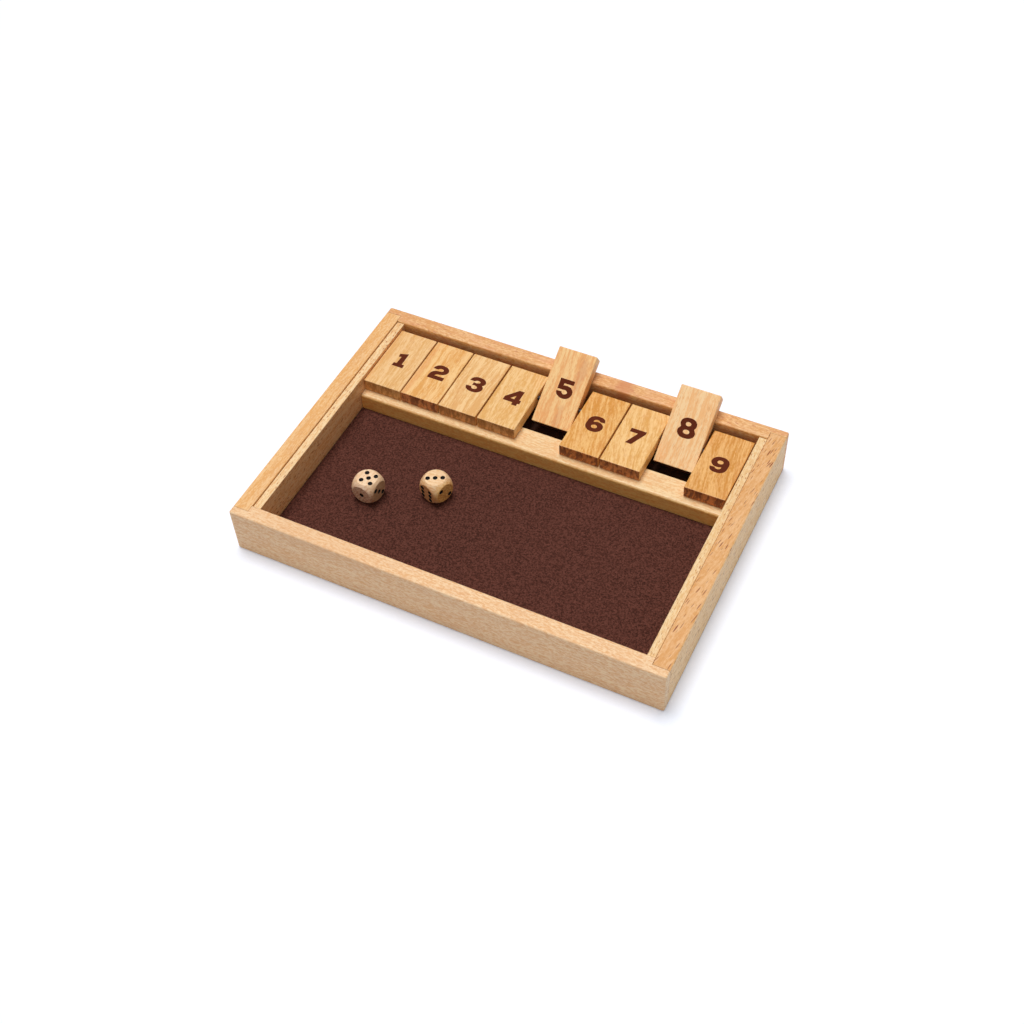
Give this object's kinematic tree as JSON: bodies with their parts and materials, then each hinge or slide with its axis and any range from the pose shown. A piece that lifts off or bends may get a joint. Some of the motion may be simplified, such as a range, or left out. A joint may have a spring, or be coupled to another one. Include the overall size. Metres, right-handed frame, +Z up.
{
  "type": "shut the box game",
  "caption": "Shallow open wooden tray for a dice game, with a felt playing field, hinged number tiles on a steel rod that tip back onto the rear rail, and loose dice",
  "frame": {"origin": "middle of the tray's underside, on the surface that the game stands on", "axes": "+X along the row of tiles from tile 1 to tile 9, +Y from the felt to the back rail, +Z up"},
  "size_m": [0.28, 0.1996, 0.0478],
  "materials": {
    "rail_wood": "satin clear lacquer, open pores",
    "liner_wood": "satin clear lacquer",
    "ledge_wood": "satin clear lacquer",
    "tile_wood": "satin clear lacquer, numbers stamped in dark brown",
    "board": "matt, black-stained on top",
    "felt": "short matt pile",
    "rod_steel": "drawn bright",
    "pale_dice_wood": "satin clear lacquer, black sunk pips",
    "warm_dice_wood": "satin clear lacquer, black sunk pips"
  },
  "bodies": {
    "tray": {"front_rail": "rail_wood", "back_rail": "rail_wood", "left_rail": "rail_wood", "right_rail": "rail_wood", "left_liner": "liner_wood", "right_liner": "liner_wood", "tile_ledge": "ledge_wood", "base_board": "board", "playing_felt": "felt", "pivot_rod": "rod_steel"},
    "tile_1": {"tile_1": "tile_wood"},
    "tile_2": {"tile_2": "tile_wood"},
    "tile_3": {"tile_3": "tile_wood"},
    "tile_4": {"tile_4": "tile_wood"},
    "tile_5": {"tile_5": "tile_wood"},
    "tile_6": {"tile_6": "tile_wood"},
    "tile_7": {"tile_7": "tile_wood"},
    "tile_8": {"tile_8": "tile_wood"},
    "tile_9": {"tile_9": "tile_wood"},
    "die_left": {"die_left": "pale_dice_wood"},
    "die_right": {"die_right": "warm_dice_wood"}
  },
  "joints": [
    {"name": "tile_1_flip", "type": "hinge", "parent": "tray", "child": "tile_1", "pos_m": [-0.1108, 0.0689, 0.02593], "axis": [-1, 0, 0], "range_deg": [0, 148.2]},
    {"name": "tile_2_flip", "type": "hinge", "parent": "tray", "child": "tile_2", "pos_m": [-0.08363, 0.0689, 0.02593], "axis": [-1, 0, 0], "range_deg": [0, 148.2]},
    {"name": "tile_3_flip", "type": "hinge", "parent": "tray", "child": "tile_3", "pos_m": [-0.05651, 0.0689, 0.02593], "axis": [-1, 0, 0], "range_deg": [0, 148.2]},
    {"name": "tile_4_flip", "type": "hinge", "parent": "tray", "child": "tile_4", "pos_m": [-0.02915, 0.0689, 0.02593], "axis": [-1, 0, 0], "range_deg": [0, 148.2]},
    {"name": "tile_5_flip", "type": "hinge", "parent": "tray", "child": "tile_5", "pos_m": [-0.0008, 0.0689, 0.02593], "axis": [-1, 0, 0], "range_deg": [-148.2, 0]},
    {"name": "tile_6_flip", "type": "hinge", "parent": "tray", "child": "tile_6", "pos_m": [0.02779, 0.0689, 0.02593], "axis": [-1, 0, 0], "range_deg": [0, 148.2]},
    {"name": "tile_7_flip", "type": "hinge", "parent": "tray", "child": "tile_7", "pos_m": [0.05509, 0.0689, 0.02593], "axis": [-1, 0, 0], "range_deg": [0, 148.2]},
    {"name": "tile_8_flip", "type": "hinge", "parent": "tray", "child": "tile_8", "pos_m": [0.08233, 0.0689, 0.02593], "axis": [-1, 0, 0], "range_deg": [-148.2, 0]},
    {"name": "tile_9_flip", "type": "hinge", "parent": "tray", "child": "tile_9", "pos_m": [0.11, 0.0689, 0.02593], "axis": [-1, 0, 0], "range_deg": [0, 148.2]},
    {"name": "die_left_lift", "type": "slide", "parent": "tray", "child": "die_left", "axis": [0, 0, 1], "range_m": [0, 0.03]},
    {"name": "die_right_lift", "type": "slide", "parent": "tray", "child": "die_right", "axis": [0, 0, 1], "range_m": [0, 0.03]}
  ]
}
